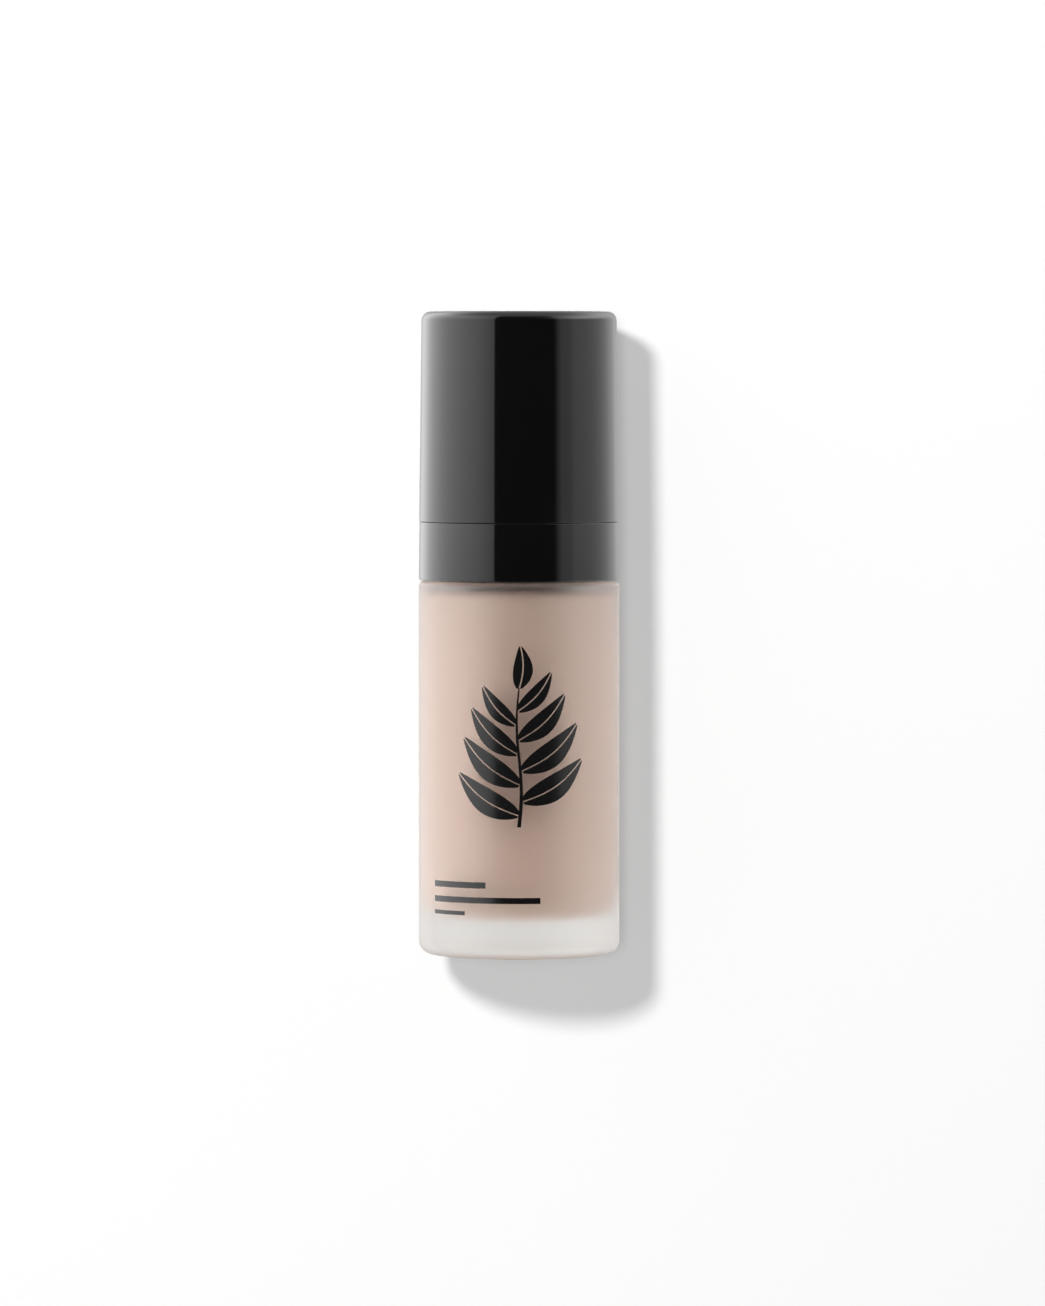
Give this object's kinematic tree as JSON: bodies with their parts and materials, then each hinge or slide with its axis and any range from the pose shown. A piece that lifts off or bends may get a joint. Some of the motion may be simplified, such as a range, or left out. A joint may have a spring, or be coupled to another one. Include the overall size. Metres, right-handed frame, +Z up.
{
  "type": "foundation bottle",
  "caption": "Cylindrical frosted glass cosmetic bottle of beige foundation with a treatment pump, a glossy black collar and a pull-off cap.",
  "frame": {"origin": "centre of the base, on the surface that the bottle stands on", "axes": "+Z up along the bottle's axis; the pump's spout and the printed side face -Y; +X to the right seen from the front"},
  "size_m": [0.035, 0.035, 0.1119],
  "materials": {
    "frosted_glass": "acid-etched satin",
    "beige_liquid": "opaque cream",
    "gloss_black": "high gloss",
    "satin_black": "satin",
    "natural_plastic": "natural, translucent",
    "clear_tube": "clear",
    "gasket_foam": "matte",
    "seal_rubber": "matte",
    "spring_steel": "bright drawn wire"
  },
  "bodies": {
    "bottle": {"glass_bottle": "frosted_glass", "liquid_foundation": "beige_liquid"},
    "pump": {"neck_gasket": "gasket_foam", "pump_housing": "natural_plastic", "chaplet": "satin_black", "stem_seal": "seal_rubber", "ball_cage": "natural_plastic", "return_spring": "spring_steel", "dip_tube": "clear_tube"},
    "ball": {"inlet_ball": "spring_steel"},
    "stem": {"pump_stem": "natural_plastic", "piston_rod": "natural_plastic"},
    "piston": {"piston_seal": "natural_plastic"},
    "actuator": {"actuator_body": "satin_black", "actuator_cover": "gloss_black", "nozzle_insert": "satin_black"},
    "closure": {"screw_closure": "satin_black", "collar_sleeve": "gloss_black"},
    "overcap": {"overcap_shell": "gloss_black", "overcap_liner": "satin_black"}
  },
  "joints": [
    {"name": "pump_rise", "type": "slide", "parent": "bottle", "child": "pump", "axis": [0, 0, 1], "range_m": [0, 0.0036]},
    {"name": "closure_turn", "type": "hinge", "parent": "pump", "child": "closure", "pos_m": [0, 0, 0.0744], "axis": [0, 0, 1], "range_deg": [0, 400]},
    {"name": "cap_lift", "type": "slide", "parent": "closure", "child": "overcap", "axis": [0, 0, 1], "range_m": [0, 0.045]},
    {"name": "pump_stroke", "type": "slide", "parent": "pump", "child": "stem", "axis": [0, 0, -1], "range_m": [0, 0.005], "stiffness_N_per_m": 1500, "springref_m": -0.004, "deforming": ["return_spring"]},
    {"name": "head_turn", "type": "hinge", "parent": "stem", "child": "actuator", "pos_m": [0, 0, 0.0935], "axis": [0, 0, 1], "continuous": true},
    {"name": "piston_float", "type": "slide", "parent": "stem", "child": "piston", "axis": [0, 0, 1], "range_m": [0, 0.0005]},
    {"name": "ball_lift", "type": "slide", "parent": "pump", "child": "ball", "axis": [0, 0, 1], "range_m": [0, 0.0008]}
  ],
  "couplings": [
    {"joint": "pump_rise", "follows": "closure_turn", "m_per_rad": 0.00050532}
  ]
}
